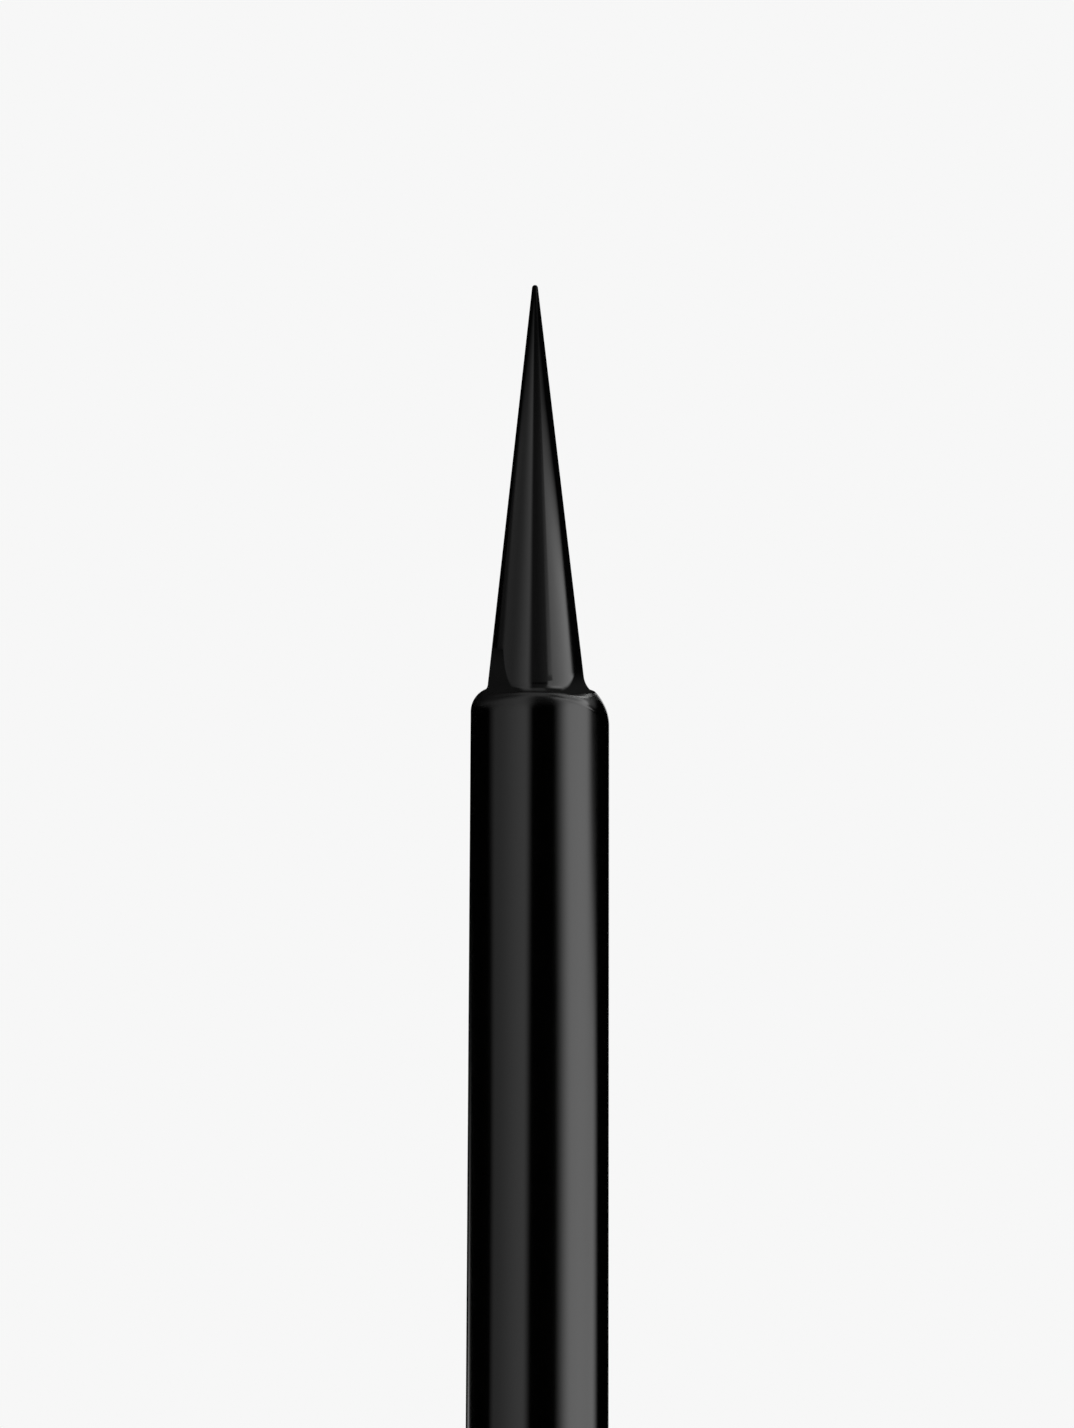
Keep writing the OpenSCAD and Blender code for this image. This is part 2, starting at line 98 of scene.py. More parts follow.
CLICK_DEPTH = 4.4
LEAD_IN = 0.3
TAIL_WALL = 1.1
TAIL_WEB = 1.5
BOSS_R = 2.4
BOSS_HEIGHT = 0.8
RETAINER_GROOVE_R = 4.7
SEATED_FIT = 0.02
SPRING_WIRE = 0.4
SPRING_R = 2.8
SPRING_TURNS = 4

# Radii taken from the photograph, within 0.015 mm of the source's. The tip's foot is where its
# cone would meet the height of the nose's mouth.
NOSE_R = 1.505
NOSE_BASE_R = 1.565
TIP_FOOT_R = 1.065
TIP_POINT_R = 0.065

# Rounding of the edges, in millimetres
EDGE_ROUND = 0.15
END_ROUND = 0.5
FINE_ROUND = 0.05
BEAD_ROUND = 0.06
LAND_ROUND = 0.04
CHAMFER_ROUND = 0.16
CAP_MOUTH_ROUND = 0.2
PLUG_ROUND = 0.1
CORE_ROUND = 0.3

# The ground tip isn't quite true to the nose: it sits a little to the left and leans that way.
# The offset sets in over a short length inside the nose. Millimetres, and a slope for the lean.
TIP_OFFSET = 0.084
TIP_OFFSET_LENGTH = 0.35
TIP_LEAN = 0.007

# The tip's flare and the nose's rounded mouth are tight at the front and larger towards the
# sides, and both are a little lower on the right. Radii and drops in millimetres.
FLARE_TIGHT = 0.18
FLARE_WIDE = 0.5
FLARE_DROP = 0.06
SHOULDER_FRONT = 0.16
SHOULDER_LEFT = 0.52
SHOULDER_RIGHT = 1.02
SHOULDER_DROP = 0.045

# Angles in degrees: the sides of the pen, how far round it each change spreads, where the
# shoulder's arc starts at the front, and the slope at which the flare ends
RIGHT_SIDE = 0
LEFT_SIDE = 180
RIGHT_SPREAD = 38
LEFT_SPREAD = 36
FLARE_SPREAD = 48
SHOULDER_START = 14
FLARE_END = 45

# The hidden bevel from the tip's rod up to its flare, in millimetres, and its steepness
BEVEL_DEPTH = 0.03
BEVEL_SETBACK = 0.004
BEVEL_STEEPNESS = 1.5

# How finely the pieces are divided
SIDES = 192
CLOSE_SIDES = 256
ROUND_STEPS = 8
CONE_STEPS = 60
FOOT_STEPS = 16
SHOULDER_STEPS = 24
WIRE_POINTS = 400
WIRE_SIDES = 14
# Share of the spring's wire in each flattened end
FLAT_END = 0.12
# A side longer than this gets a point this close to each end, in millimetres
LONG_SIDE = 0.6
EASE = 0.03
# How far a cut runs past its piece, in millimetres
OVERRUN = 1
# Distances at which points are one, in metres
WELD = 1e-8
PANEL_WELD = 1e-6
# Angles from which an edge is sharp, in degrees
SHARP = 35
WIRE_SHARP = 60

# The gloss film on the tip, in millimetres: where it thins out, counted from the point, and how
# softly; how much higher it reaches towards the left; how uneven it is; and how much lower it ends
# at both edges of the tip and, besides that, at the left one. The higher reach on the left and the
# lower ends at the edges are painted reflection edges, standing in for where the softboxes'
# reflections end.
FILM_END = 2.2
FILM_FADE = 2.0
PAINTED_GLOSS_SLANT = 2.9
FILM_PATCHES = 0.6
PAINTED_GLOSS_EDGES = 4.0
PAINTED_GLOSS_LEFT = 3.5
# The foot below it, above the nose's mouth, where the gloss is taken off as painted shade and the
# colour is a painted dim grey: its height at the front; how much higher it is at both edges and,
# besides that, at the left one; its greatest height; and half its soft edge
FOOT_FRONT = 0.09
FOOT_EDGES = 1.1
FOOT_LEFT = 3.8
FOOT_TOP = 0.95
FOOT_BLUR = 0.05

# Keeps a division from zero, in square metres
TINY = 1e-10

# Grey levels of the black pieces, and how far their rubbed ends reach, in millimetres
SHELL_BLACK = 0.004
RETAINER_BLACK = 0.01
RUB_REACH = 0.9

# The panels round the pen that its gloss shows: radii in millimetres, the elevation at which
# they turn into a dome, and the rows and columns that they are made of
SOFTBOX_R = 300
FLAGS_R = 340
RIM_LAMP_R = 290
DOME_START = 24
PANEL_ROWS = 40
PANEL_COLUMNS = 60
# Rows that would lie lower stay at this height, a little apart, in millimetres
PANEL_FOOT = -2
PANEL_ROW_GAP = 0.01
# Azimuths over which the panels' lift to the camera's level turns into a drop, in degrees
PANEL_TURN = (110, 170)
# Elevations that the tip's cone shows, in degrees, with a soft step at each end, and heights just
# below the nose's mouth between which the softboxes' edges change, in millimetres
TIP_ELEVATIONS = (3, 11, 34, 44)
BELOW_MOUTH = (152.5, 155.5)

# Radius of the floor, its sides, and the distances between which it fades, in metres
FLOOR_R = 1.2
FLOOR_SIDES = 96
FLOOR_FADE = (0.18, 0.75)

# Levels of the background, as it is seen and as a source of light
SEEN_LEVEL = 0.93
LIGHT_LEVEL = 0.6


def height_range(node):
    """Lowest and highest z of a CAD node, in millimetres."""
    low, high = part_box(node)
    return low.z / MM, high.z / MM


def arc(x, z, radius, start, end, steps=ROUND_STEPS):
    """Points of an arc about (x, z), with angles in degrees."""
    angles = [math.radians(start + (end - start) * i / steps) for i in range(steps + 1)]
    return [(x + radius * math.cos(a), z + radius * math.sin(a)) for a in angles]


def bead(radius, z, height, width=BEAD_WIDTH):
    """A low ring-shaped bead on a wall, upwards; a negative height is a groove."""
    return [
        (radius, z - width / 2),
        (radius + height, z - width / 4),
        (radius + height, z + width / 4),
        (radius, z + width / 2),
    ]


def click_bead(z):
    """The rounded bead on a seat that the cap clicks over."""
    return [(radius, height, BEAD_ROUND) for radius, height in bead(SEAT_R, z, CLICK_HEIGHT)]


def rounded(corners):
    """An outline whose corners are (radius, height) or, where they are rounded, (radius, height, round)."""
    points = []
    for i, corner in enumerate(corners):
        here = Vector(corner[:2])
        if len(corner) == 2:
            points.append(tuple(here))
            continue
        before = Vector(corners[i - 1][:2])
        after = Vector(corners[(i + 1) % len(corners)][:2])
        reach = min(corner[2], (before - here).length / 2, (after - here).length / 2)
        start = here + (before - here).normalized() * reach
        end = here + (after - here).normalized() * reach
        for k in range(ROUND_STEPS + 1):
            t = k / ROUND_STEPS
            points.append(tuple(start * (1 - t) ** 2 + here * 2 * t * (1 - t) + end * t ** 2))
    return points


def eased(points):
    """The outline with a point close to each end of a long side, so that its shading stays straight."""
    made = []
    for i, here in enumerate(points):
        after = points[(i + 1) % len(points)]
        made.append(here)
        length = math.dist(here, after)
        if length > LONG_SIDE:
            share = EASE / length
            for t in (share, 1 - share):
                made.append((here[0] + (after[0] - here[0]) * t, here[1] + (after[1] - here[1]) * t))
    return made


def placed(name, data):
    """A new object in the scene."""
    obj = bpy.data.objects.new(name, data)
    bpy.context.scene.collection.objects.link(obj)
    return obj


def from_shape(name, shape):
    """A new object with the mesh of an edit mesh, which is freed."""
    mesh = bpy.data.meshes.new(name)
    shape.to_mesh(mesh)
    shape.free()
    return placed(name, mesh)


def welded(shape):
    """The edit mesh with its double points joined and its faces turned outwards."""
    bmesh.ops.remove_doubles(shape, verts=shape.verts, dist=WELD)
    bmesh.ops.recalc_face_normals(shape, faces=shape.faces)
    return shape


def stand_in(obj, body, material, slot, *nodes, sharp=SHARP):
    """Smooths a piece, gives it its material, and lets it stand for its CAD nodes on its body."""
    obj.data.materials.clear()
    obj.data.materials.append(material)
    obj.data.shade_smooth()
    obj.data.set_sharp_from_angle(angle=math.radians(sharp))
    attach(obj, body)
    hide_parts(*nodes)


def turned(name, outline, sides=SIDES, bend=None):
    """A closed turned piece. The outline is a list of (radius, height), or gives one for each angle."""
    shape = bmesh.new()
    rings = []
    for i in range(sides):
        angle = 2 * math.pi * i / sides
        points = eased(outline(angle) if callable(outline) else outline)
        ring = []
        for radius, z in points:
            place = Vector((radius * math.cos(angle), radius * math.sin(angle), z))
            if bend:
                place += bend(z)
            ring.append(shape.verts.new(place * MM))
        rings.append(ring)
    count = len(rings[0])
    for here, there in zip(rings, rings[1:] + rings[:1]):
        for k in range(count):
            after = (k + 1) % count
            shape.faces.new((here[k], there[k], there[after], here[after]))
    return from_shape(name, welded(shape))


def block(name, low, high):
    """A scratch block for a cut, with its corners in millimetres."""
    shape = bmesh.new()
    middle = [(a + b) / 2 * MM for a, b in zip(low, high)]
    sizes = [(b - a) * MM for a, b in zip(low, high)]
    bmesh.ops.create_cube(
        shape, matrix=Matrix.Translation(middle) @ Matrix.Diagonal((*sizes, 1))
    )
    return from_shape(name, shape)


def bake(obj):
    """Applies the object's modifiers to its mesh."""
    evaluated = obj.evaluated_get(bpy.context.evaluated_depsgraph_get())
    mesh = bpy.data.meshes.new_from_object(evaluated)
    obj.modifiers.clear()
    obj.data = mesh


def maths(operation):
    """A Math node's operation, forwards and with its two values the other way round."""

    def forwards(self, other=0.0):
        return self.graph.add("Math", {"operation": operation}, {0: self, 1: other})

    def backwards(self, other):
        return self.graph.add("Math", {"operation": operation}, {0: other, 1: self})

    return forwards, backwards


class Term:
    """A node's output, which takes part in sums as a number does."""

    def __init__(self, graph, socket):
        self.graph = graph
        self.socket = socket

    __add__, __radd__ = maths("ADD")
    __sub__, __rsub__ = maths("SUBTRACT")
    __mul__, __rmul__ = maths("MULTIPLY")
    __truediv__, __rtruediv__ = maths("DIVIDE")
    __pow__, __rpow__ = maths("POWER")
    at_least = maths("MAXIMUM")[0]
    at_most = maths("MINIMUM")[0]
    size = maths("ABSOLUTE")[0]
    cosine = maths("COSINE")[0]
    sine = maths("SINE")[0]
    arctan2 = maths("ARCTAN2")[0]


class Graph:
    """A tree of nodes that is being put together."""

    def __init__(self, tree):
        self.tree = tree

    def add(self, kind, settings=None, inputs=None, output=0):
        """Adds a node, with its settings first and then the values or links of its sockets.

        A kind is a full type name, or a shader node's without its prefix.
        """
        node = self.tree.nodes.new(kind if "Node" in kind else "ShaderNode" + kind)
        for name, value in (settings or {}).items():
            setattr(node, name, value)
        for name, value in (inputs or {}).items():
            if isinstance(value, Term):
                self.tree.links.new(value.socket, node.inputs[name])
            else:
                node.inputs[name].default_value = value
        return Term(self, node.outputs[output])

    def place(self):
        """A point's place in metres."""
        return self.add("TexCoord", output="Object")

    def part_of_place(self, axis):
        """One part of that place, by the number of its axis."""
        return self.add("SeparateXYZ", {}, {0: self.place()}, axis)

    def ray(self, kind):
        """1 for rays of a kind, such as Camera, and 0 for others."""
        return self.add("LightPath", output="Is " + kind + " Ray")

    def grain(self, size, detail=3.0, roughness=0.5, warp=0.0):
        """Noise between 0 and 1 whose features are size millimetres along x, y and z."""
        scale = [1 / (s * MM) for s in size]
        spot = self.add("Mapping", {}, {"Vector": self.place(), "Scale": scale})
        return self.add(
            "TexNoise",
            {},
            {"Vector": spot, "Scale": 1.0, "Detail": detail, "Roughness": roughness, "Distortion": warp},
        )

    def rise(self, term, start, end):
        """A soft step from 0 to 1 as the term goes from start to end."""
        return self.add(
            "MapRange",
            {"interpolation_type": "SMOOTHSTEP"},
            {"Value": term, "From Min": start, "From Max": end},
        )

    def within(self, term, start, full, fade, end):
        """1 between full and fade, with soft steps down to 0 at start and at end."""
        return self.rise(term, start, full) * (1 - self.rise(term, fade, end))

    def blended(self, factor, first, second):
        """A colour between two others."""
        return self.add("Mix", {"data_type": "RGBA"}, {0: factor, 6: first, 7: second}, 2)

    def bumped(self, height, depth):
        """A normal from a height between 0 and 1, depth millimetres high."""
        return self.add("Bump", {}, {"Height": height, "Distance": depth * MM, "Strength": 1.0})


class Finish(Graph):
    """A material that is being put together round its own shader."""

    def __init__(self, name, **constants):
        self.material = bpy.data.materials.new(name)
        self.material.use_nodes = True
        super().__init__(self.material.node_tree)
        self.shader = self.tree.nodes["Principled BSDF"]
        for socket, value in constants.items():
            self.shader.inputs[socket.replace("_", " ")].default_value = value

    def feed(self, **terms):
        """Links terms to the shader's sockets, and gives the material."""
        for name, term in terms.items():
            self.tree.links.new(term.socket, self.shader.inputs[name.replace("_", " ")])
        return self.material

    def show(self, term):
        """Links another shader to the material's output, and gives the material."""
        self.tree.links.new(term.socket, self.tree.nodes["Material Output"].inputs["Surface"])
        return self.material


def grey(level, tint=1.0):
    """A near-neutral colour, a touch bluer with a tint above 1."""
    return (level, level, level * tint, 1.0)


def wet_fibre(point, mouth):
    """Ink-soaked bonded fibre, ground smooth, under a gloss film of ink that thins towards the point.

    The film reaches higher on the left than on the right, and ends lower at both edges, most at the
    left one: painted reflection edges, standing in for where the softboxes' reflections end. At the
    foot, higher at both sides and most on the left, the gloss is taken off and the colour turns a dim
    grey: painted shade and painted dim light there.
    """
    f = Finish("wet_tip_fibre", Specular_IOR_Level=0.0, Coat_Roughness=0.1, Coat_IOR=1.5)
    fibres = f.grain((0.035, 0.035, 2.2), detail=2.0)
    patches = f.grain((0.5, 0.5, 1.4), detail=3.0)
    x = f.part_of_place(0) + TIP_OFFSET * MM
    y = f.part_of_place(1)
    rightwards = x / (x * x + y * y + TINY) ** 0.5
    left = f.rise(rightwards, 0.3, -0.3)
    tall = f.part_of_place(2) / MM
    # Painted reflection edges: the film ends lower on the right and at both edges, most at the left one,
    # where the softboxes' reflections should end
    painted_edge_cut = rightwards.size() ** 4.0 * (PAINTED_GLOSS_EDGES + left * PAINTED_GLOSS_LEFT)
    reach = tall + rightwards * PAINTED_GLOSS_SLANT + (patches - 0.5) * FILM_PATCHES + painted_edge_cut
    film = f.rise(reach, point - FILM_END + FILM_FADE, point - FILM_END - FILM_FADE)
    above = tall - mouth
    # Painted shade and painted dim light at the foot: the gloss is taken off there, higher at both sides and
    # most on the left, and the colour turns a dim grey
    foot = FOOT_FRONT + rightwards.size() ** 6.0 * (FOOT_EDGES + left * FOOT_LEFT)
    gloss_off_painted_shade = f.rise(above - foot.at_most(FOOT_TOP), FOOT_BLUR, -FOOT_BLUR)
    grey_top = 0.5 + left * 0.85
    grey_full = 0.1 + left * 0.45
    matt = gloss_off_painted_shade * f.rise(above, grey_top, grey_full) * (1 - left * 0.25)
    soaked = f.blended(fibres, grey(0.0005, 1.05), grey(0.0015, 1.05))
    return f.feed(
        Base_Color=f.blended(matt, soaked, grey(0.008)),
        Roughness=0.45 + fibres * 0.2,
        Coat_Weight=film * (1 - gloss_off_painted_shade) * (0.96 + fibres * 0.08),
        Normal=f.bumped(fibres, 0.0003),
    )


def polished_black(mouth):
    """The nose's polished black moulding, with faint waves and haze.

    Its gloss is softer on the rounded mouth, most of all on the left.
    """
    f = Finish("polished_black_nose", IOR=1.5)
    waves = f.grain((1.6, 1.6, 4.0), detail=2.0)
    haze = f.grain((0.25, 0.25, 0.8), detail=4.0)
    left = f.rise(f.part_of_place(0) / MM, 0.1, -0.9)
    above = f.part_of_place(2) / MM - mouth
    rim = f.rise(above, -0.3 - left * 0.09, -0.05 - left * 0.14)
    return f.feed(
        Base_Color=f.blended(haze, grey(0.0001), grey(0.0003)),
        Roughness=0.1 + haze * 0.03 + rim * (0.16 + left * 0.12),
        Normal=f.bumped(waves, 0.0006),
    )


def satin_black(name, rough, low, high, level=SHELL_BLACK):
    """Black shell moulding with a fine grain, smudges, hairline scratches and rubbed ends."""
    f = Finish(name, IOR=1.5)
    texture = f.grain((0.09, 0.09, 0.09), detail=2.0)
    smudges = f.grain((3.5, 3.5, 7.0), detail=4.0, roughness=0.6, warp=0.4)
    lines = f.grain((0.05, 0.05, 9.0), detail=1.0)
    scratches = f.rise(lines, 0.69, 0.75)
    z = f.part_of_place(2) / MM
    ends = f.rise(z, low + RUB_REACH, low) + f.rise(z, high - RUB_REACH, high)
    rubbed = ends.at_most(1.0) * f.rise(f.grain((0.3, 0.3, 0.5), detail=4.0), 0.45, 0.7)
    worn = (scratches * 0.25 + rubbed * 0.7).at_most(1.0)
    return f.feed(
        Base_Color=f.blended(worn, grey(level, 1.06), grey(level * 3.0, 1.04)),
        Roughness=rough + smudges * 0.1 + worn * 0.12 + texture * 0.03,
        Normal=f.bumped(texture - scratches * 0.4, 0.0008),
    )


def lacquered_ring():
    """Black lacquer over a turned brass ring, with fine turning lines."""
    f = Finish("black_lacquered_ring", IOR=1.6, Metallic=1.0)
    turning = f.grain((5.0, 5.0, 0.03), detail=2.0)
    spots = f.grain((0.4, 0.4, 0.4), detail=4.0)
    return f.feed(
        Base_Color=f.blended(spots, (0.3, 0.3, 0.31, 1.0), (0.38, 0.38, 0.39, 1.0)),
        Roughness=0.16 + turning * 0.08 + spots * 0.05,
        Normal=f.bumped(turning, 0.0006),
    )


def natural_plastic(name, tint, stain_size, stained):
    """Natural polypropylene, milky and waxy, stained by the ink by a share between 0 and 1."""
    f = Finish(name, IOR=1.49, Subsurface_Weight=0.25, Subsurface_Scale=0.002)
    cloud = f.grain((1.8, 1.8, 2.6), detail=3.0)
    stains = f.rise(f.grain(stain_size, detail=5.0, roughness=0.6, warp=0.8), 0.55, 0.68) * stained
    milk = f.blended(cloud, tint, [c * 0.86 for c in tint[:3]] + [1.0])
    return f.feed(
        Base_Color=f.blended(stains, milk, grey(0.03, 1.2)),
        Roughness=0.34 + cloud * 0.12 - stains * 0.12,
        Normal=f.bumped(f.grain((0.12, 0.12, 0.12)), 0.0015),
    )


def inked_fibre():
    """The feed rod's bonded fibres, dark with ink."""
    f = Finish("inked_feed_fibre", IOR=1.45)
    fibres = f.grain((0.04, 0.04, 3.0), detail=3.0)
    soak = f.grain((0.8, 0.8, 5.0), detail=3.0)
    return f.feed(
        Base_Color=f.blended(fibres * soak, grey(0.006, 1.1), grey(0.05, 1.08)),
        Roughness=0.42 + fibres * 0.25,
        Normal=f.bumped(fibres, 0.012),
    )


def seal_rubber():
    """Matt black rubber with a little bloom."""
    f = Finish("seal_rubber", IOR=1.5)
    skin = f.grain((0.06, 0.06, 0.06), detail=4.0)
    bloom = f.grain((0.9, 0.9, 0.9), detail=3.0)
    return f.feed(
        Base_Color=f.blended(bloom, grey(0.012), grey(0.026)),
        Roughness=0.62 + skin * 0.2,
        Normal=f.bumped(skin, 0.006),
    )


def polished_steel():
    """The mixing ball's ground steel, with fine lapping marks."""
    f = Finish("lapped_ball_steel", Metallic=1.0)
    marks = f.grain((0.03, 0.6, 0.6), detail=3.0)
    cloud = f.grain((0.7, 0.7, 0.7), detail=3.0)
    return f.feed(
        Base_Color=f.blended(cloud, (0.56, 0.57, 0.59, 1.0), (0.66, 0.66, 0.67, 1.0)),
        Roughness=0.1 + marks * 0.1 + cloud * 0.04,
        Normal=f.bumped(marks, 0.0006),
    )


def drawn_wire():
    """Bright drawn spring wire, with die lines along it and a light oil film."""
    f = Finish("drawn_spring_wire", Metallic=1.0)
    lines = f.grain((0.5, 0.5, 0.025), detail=3.0)
    film = f.grain((0.6, 0.6, 0.6), detail=3.0)
    return f.feed(
        Base_Color=f.blended(film, (0.5, 0.5, 0.51, 1.0), (0.62, 0.61, 0.6, 1.0)),
        Roughness=0.2 + lines * 0.16 + film * 0.06,
        Normal=f.bumped(lines, 0.0015),
    )


def bulge(angle, middle, spread):
    """1 in one direction round the pen, falling to 0 away from it. Middle and spread are in degrees."""
    away = (math.degrees(angle) - middle + 180) % 360 - 180
    return math.exp(-((away / spread) ** 2))


def flare_fillet(angle):
    """The radius of the tip's flare in a direction round the pen."""
    return FLARE_WIDE + (FLARE_TIGHT - FLARE_WIDE) * bulge(angle, LEFT_SIDE, FLARE_SPREAD)


def mouth_shoulder(angle):
    """The radius of the nose's rounded mouth in a direction round the pen, its arc's start and its drop."""
    right = bulge(angle, RIGHT_SIDE, RIGHT_SPREAD)
    left = bulge(angle, LEFT_SIDE, LEFT_SPREAD)
    radius = SHOULDER_FRONT + (SHOULDER_RIGHT - SHOULDER_FRONT) * right
    radius += (SHOULDER_LEFT - SHOULDER_FRONT) * left
    return radius, SHOULDER_START * (1 - right) * (1 - left), SHOULDER_DROP * right


def make_tip(body):
    """The ground fibre tip, with its flare, its rod in the nose and its socket for the feed."""
    bottom, point = height_range("fibre_tip")
    mouth = height_range("nose")[1]
    slope = (TIP_FOOT_R - TIP_POINT_R) / (point - mouth)
    cone_angle = math.degrees(math.atan(slope))

    def outline(angle):
        fillet = flare_fillet(angle)
        rise = fillet * math.sin(math.radians(FLARE_END))
        x = TIP_FOOT_R - slope * rise + fillet / math.cos(math.radians(cone_angle))
        z = mouth + rise
        flare = arc(x, z, fillet, 180 + FLARE_END, 180 + cone_angle)
        drop = FLARE_DROP * bulge(angle, RIGHT_SIDE, RIGHT_SPREAD)
        step = point - TIP_POINT_R - flare[-1][1]
        radius = TIP_POINT_R * math.cos(math.radians(cone_angle))
        cone = [
            (
                flare[-1][0] + (radius - flare[-1][0]) * k / CONE_STEPS,
                flare[-1][1] + step * k / CONE_STEPS,
            )
            for k in range(1, CONE_STEPS)
        ]
        bevel = [
            (TIP_ROD_R, mouth - BEVEL_DEPTH - drop * BEVEL_STEEPNESS),
            (flare[0][0] + drop - BEVEL_SETBACK, mouth - BEVEL_SETBACK - drop),
        ]
        return (
            [(FEED_HOLE_R, bottom), (TIP_ROD_R, bottom)]
            + bead(TIP_ROD_R, mouth - GRIP_DEPTH, -GRIP_HEIGHT, GRIP_WIDTH)
            + bevel
            + flare
            + cone
            + arc(0, point - TIP_POINT_R, TIP_POINT_R, cone_angle, 90)
            + [(0, bottom + FEED_SOCKET), (FEED_HOLE_R, bottom + FEED_SOCKET)]
        )

    def bend(z):
        shift = TIP_OFFSET * min(1, max(0, 1 + (z - mouth) / TIP_OFFSET_LENGTH))
        return Vector((-shift - TIP_LEAN * max(0, z - mouth), 0, 0))

    obj = turned("tip_ground_fibre", outline, CLOSE_SIDES, bend)
    stand_in(obj, body, wet_fibre(point, mouth), "tip_fibre", "fibre_tip")


def make_nose(body):
    """The long thin nose, with its rounded mouth, flared foot, spigot and vent groove."""
    bottom, mouth = height_range("nose")
    face = height_range("front_section")[1]
    snout = height_range("comb_collector")[1]
    flare_top = face + NOSE_FLANGE + FLARE_R

    def outline(angle):
        shoulder, start, drop = mouth_shoulder(angle)
        x = NOSE_R - shoulder * math.cos(math.radians(start))
        slope = math.degrees(math.acos((MOUTH_R - x) / shoulder))
        z = mouth - drop - shoulder * math.sin(math.radians(slope))
        foot = arc(NOSE_BASE_R + FLARE_R, flare_top, FLARE_R, 180, 270, FOOT_STEPS)
        return (
            [(NOSE_SOCKET_R, bottom), (NOSE_SPIGOT_R, bottom), (NOSE_SPIGOT_R, face)]
            + [(NOSE_FOOT_R, face)]
            + arc(NOSE_FOOT_R - EDGE_ROUND, face + NOSE_FLANGE - EDGE_ROUND, EDGE_ROUND, 0, 90)
            + foot[::-1]
            + arc(x, z, shoulder, start, slope, SHOULDER_STEPS)
            + bead(MOUTH_R, mouth - GRIP_DEPTH, -GRIP_HEIGHT, GRIP_WIDTH)[::-1]
            + [(MOUTH_R, snout), (NOSE_SOCKET_R, snout)]
        )

    obj = turned("nose_moulding", outline, CLOSE_SIDES)
    vent = block(
        "vent_cut",
        (NOSE_SPIGOT_R - VENT_DEPTH, -VENT_WIDTH / 2, bottom - OVERRUN),
        (NOSE_FOOT_R + OVERRUN, VENT_WIDTH / 2, face + VENT_DEPTH),
    )
    cut = obj.modifiers.new("vent", "BOOLEAN")
    cut.operation = "DIFFERENCE"
    cut.solver = "EXACT"
    cut.object = vent
    bake(obj)
    bpy.data.objects.remove(vent)
    stand_in(obj, body, polished_black(mouth), "nose_plastic", "nose")


def make_section(body):
    """The front section: cap seat with its click bead, ring land, and the tail in the barrel."""
    bottom, face = height_range("front_section")
    ring_low, seat = height_range("section_ring")
    chamber_top = height_range("nose")[0]
    socket = NOSE_SPIGOT_R + SEATED_FIT
    outline = rounded(
        [(SECTION_BORE_R, bottom), (SECTION_TAIL_R - LEAD_IN, bottom), (SECTION_TAIL_R, bottom + LEAD_IN)]
        + bead(SECTION_TAIL_R, ring_low - BEAD_SETBACK - BEAD_WIDTH, BEAD_HEIGHT)
        + [(SECTION_TAIL_R, ring_low), (LAND_R, ring_low), (LAND_R, seat, LAND_ROUND), (SEAT_R, seat)]
        + click_bead(seat + CLICK_DEPTH)
        + [(SEAT_R, face - SEAT_CHAMFER, CHAMFER_ROUND), (SEAT_R - SEAT_CHAMFER, face, CHAMFER_ROUND)]
        + [(socket, face, FINE_ROUND), (socket, chamber_top), (SECTION_BORE_R, chamber_top)]
    )
    obj = turned("section_moulding", outline)
    material = satin_black("satin_black_section", 0.18, bottom, face)
    stand_in(obj, body, material, "shell_plastic", "front_section")


def make_ring(body):
    """The trim ring, rounded on its four edges."""
    low, high = height_range("section_ring")
    inner = LAND_R + SEATED_FIT
    outline = rounded(
        [(inner, low, FINE_ROUND), (PEN_R, low, EDGE_ROUND)]
        + [(PEN_R, high, EDGE_ROUND), (inner, high, FINE_ROUND)]
    )
    obj = turned("trim_ring_turned", outline)
    stand_in(obj, body, lacquered_ring(), "trim_metal", "section_ring")


def make_barrel(body):
    """The barrel tube, with rounded rims and the grooves for its plugs' beads."""
    low, high = height_range("barrel")
    grooves = (high - BEAD_SETBACK - BEAD_WIDTH, low + BEAD_SETBACK + BEAD_WIDTH)
    outline = rounded(
        [(BARREL_BORE_R, low), (PEN_R, low, EDGE_ROUND), (PEN_R, high, EDGE_ROUND), (BARREL_BORE_R, high)]
        + [p for z in grooves for p in bead(BARREL_BORE_R, z, BEAD_HEIGHT)[::-1]]
    )
    obj = turned("barrel_tube", outline)
    material = satin_black("satin_black_barrel", 0.17, low, high)
    stand_in(obj, body, material, "shell_plastic", "barrel")


def make_tail(body):
    """The tail plug, with the spigot that the cap posts on."""
    bottom, top = height_range("tail_plug")
    cap_top = height_range("cap_shell")[1]
    barrel_low = height_range("barrel")[0]
    core = SEAT_R - TAIL_WALL
    outline = rounded(
        [(core, bottom, FINE_ROUND), (SEAT_R, bottom, LEAD_IN)]
        + click_bead(cap_top - CLICK_DEPTH)
        + [(SEAT_R, cap_top), (PEN_R, cap_top, EDGE_ROUND), (PEN_R, barrel_low, EDGE_ROUND)]
        + [(SECTION_TAIL_R, barrel_low)]
        + bead(SECTION_TAIL_R, barrel_low + BEAD_SETBACK + BEAD_WIDTH, BEAD_HEIGHT)
        + [(SECTION_TAIL_R, top, LEAD_IN), (0, top)]
        + [(0, top - TAIL_WEB), (core, top - TAIL_WEB, CORE_ROUND)]
    )
    obj = turned("tail_plug_moulding", outline)
    material = satin_black("satin_black_tail", 0.19, bottom, top)
    stand_in(obj, body, material, "shell_plastic", "tail_plug")


